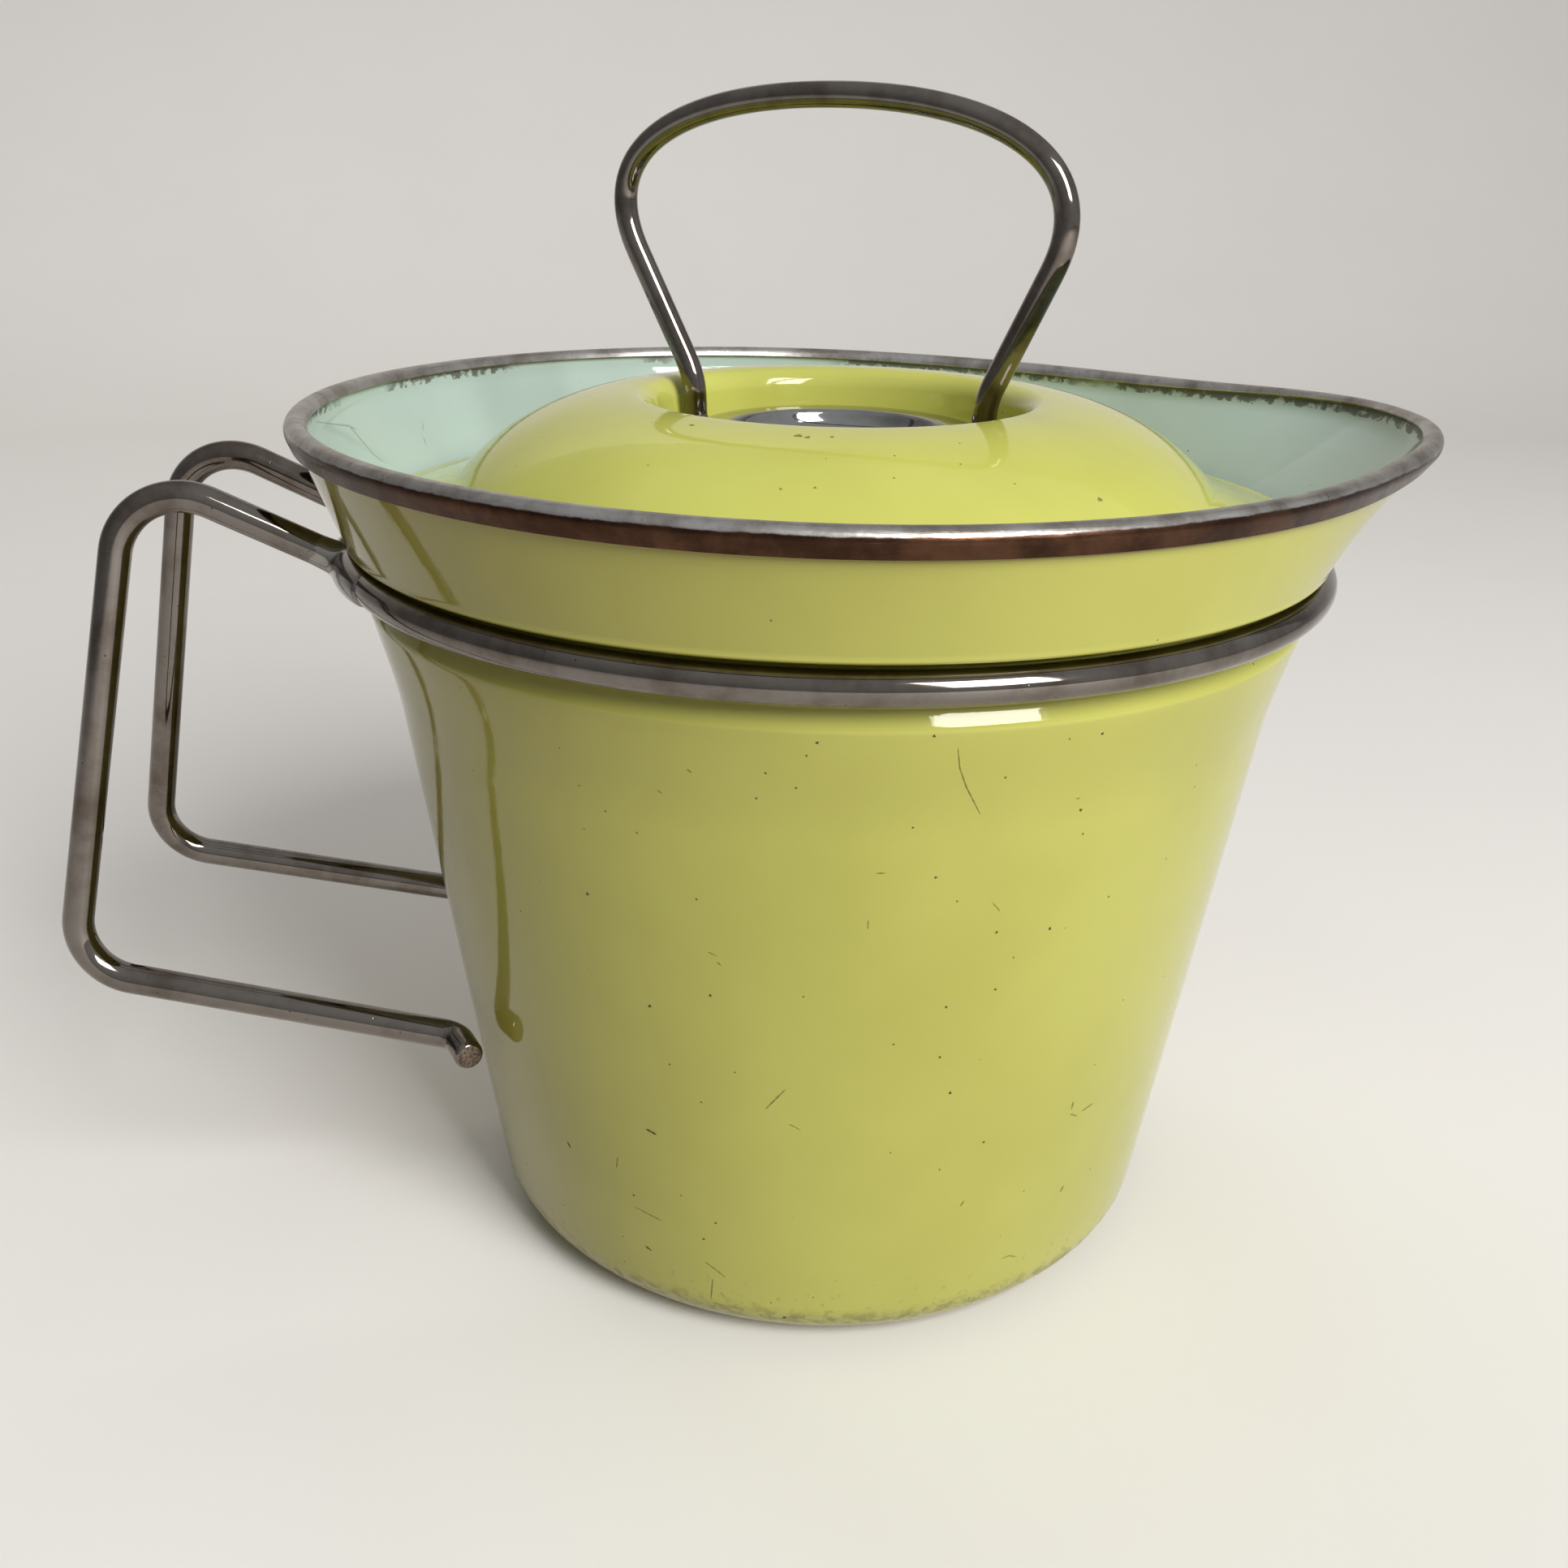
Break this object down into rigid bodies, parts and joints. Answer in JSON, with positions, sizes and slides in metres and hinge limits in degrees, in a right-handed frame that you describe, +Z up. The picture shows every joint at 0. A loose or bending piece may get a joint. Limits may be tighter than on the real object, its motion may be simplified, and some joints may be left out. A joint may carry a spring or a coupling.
{
  "type": "milk pan with lid",
  "caption": "Enamelled steel milk pan with a flared mouth, a pouring lip, a twin-wire side handle and a domed lift-off lid with a tall wire hoop.",
  "frame": {"origin": "centre of the flat base, on the surface that the pan stands on", "axes": "+Z up the axis of the pan, +X towards the pouring lip, -X towards the handle, so the handle's two loops lie on either side of the XZ plane"},
  "size_m": [0.2243, 0.1716, 0.1897],
  "materials": {
    "lime_enamel": "glossy yellow-green vitreous enamel on steel sheet, pale mint inside",
    "band_steel": "worn stainless steel, dull with fine scratches",
    "plated_wire": "bright plated steel",
    "zinc_fixings": "zinc-plated steel"
  },
  "bodies": {
    "pan": {"pan_body": "lime_enamel", "rim_band": "band_steel", "neck_ring": "plated_wire", "handle_loop_right": "plated_wire", "handle_loop_left": "plated_wire"},
    "lid": {"lid_shell": "lime_enamel", "lid_handle_plate": "plated_wire", "lid_hoop": "plated_wire", "lid_stud": "zinc_fixings", "lid_washer": "zinc_fixings", "lid_nut": "zinc_fixings"}
  },
  "joints": [
    {"name": "lid_lift", "type": "slide", "parent": "pan", "child": "lid", "axis": [0, 0, 1], "range_m": [0, 0.06]}
  ]
}
